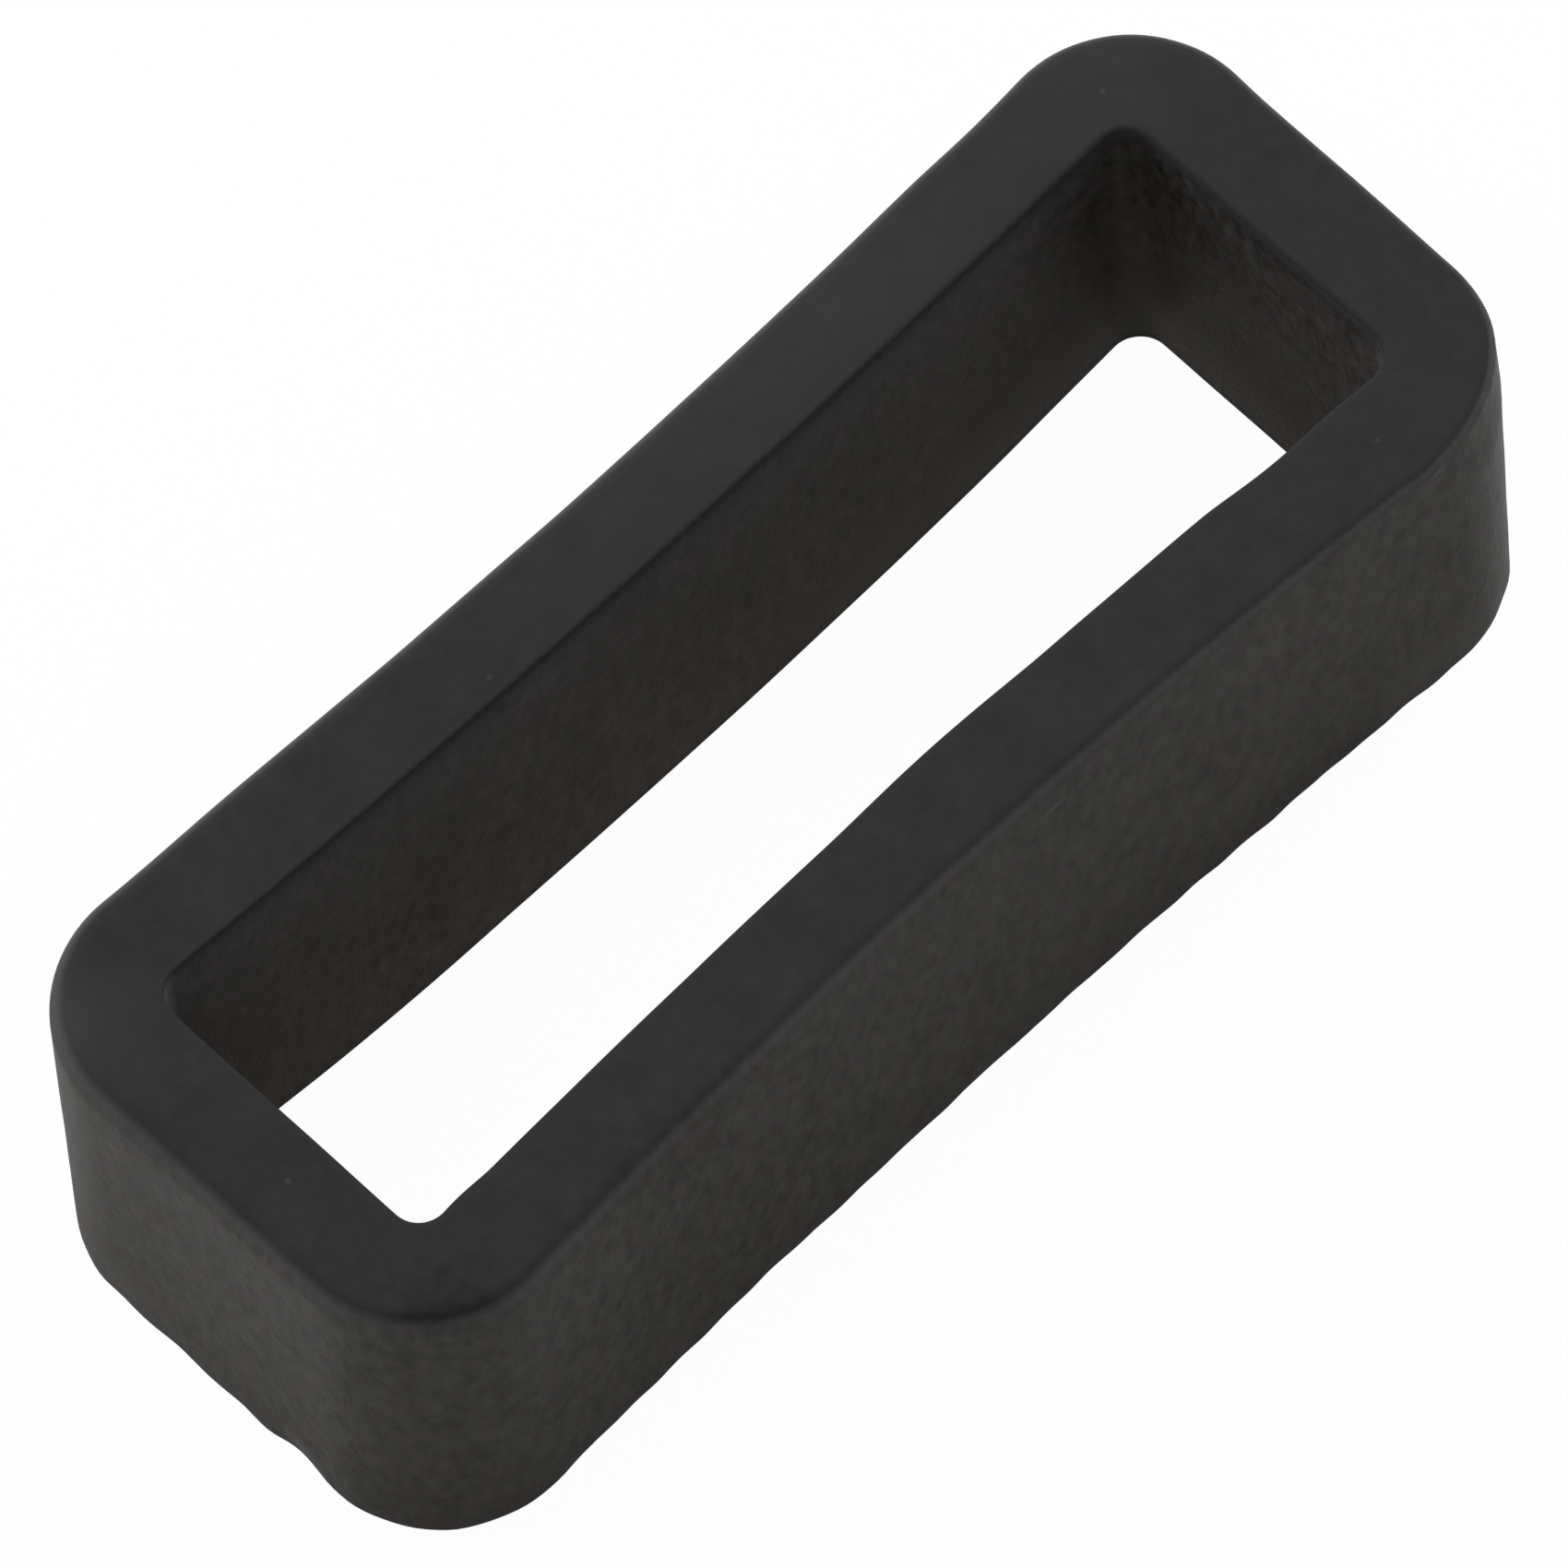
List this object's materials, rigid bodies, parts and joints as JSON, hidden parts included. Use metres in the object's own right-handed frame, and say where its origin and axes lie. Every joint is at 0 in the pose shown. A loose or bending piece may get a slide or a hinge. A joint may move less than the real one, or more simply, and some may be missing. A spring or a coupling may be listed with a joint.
{
  "type": "watch strap keeper",
  "caption": "Moulded rubber watch strap keeper: a rectangular loop with rounded corners and gently waisted long sides that holds the free end of the strap against the buckle side.",
  "frame": {"origin": "middle of the opening, on the plane of the lower end face", "axes": "+X across the strap's width, +Y through the strap's thickness, +Z along the strap, which passes through the opening"},
  "size_m": [0.027, 0.0104, 0.0077],
  "materials": {
    "black_rubber": "satin on the end faces, finely grained on the walls"
  },
  "bodies": {
    "root": {"keeper_loop": "black_rubber"}
  },
  "joints": []
}
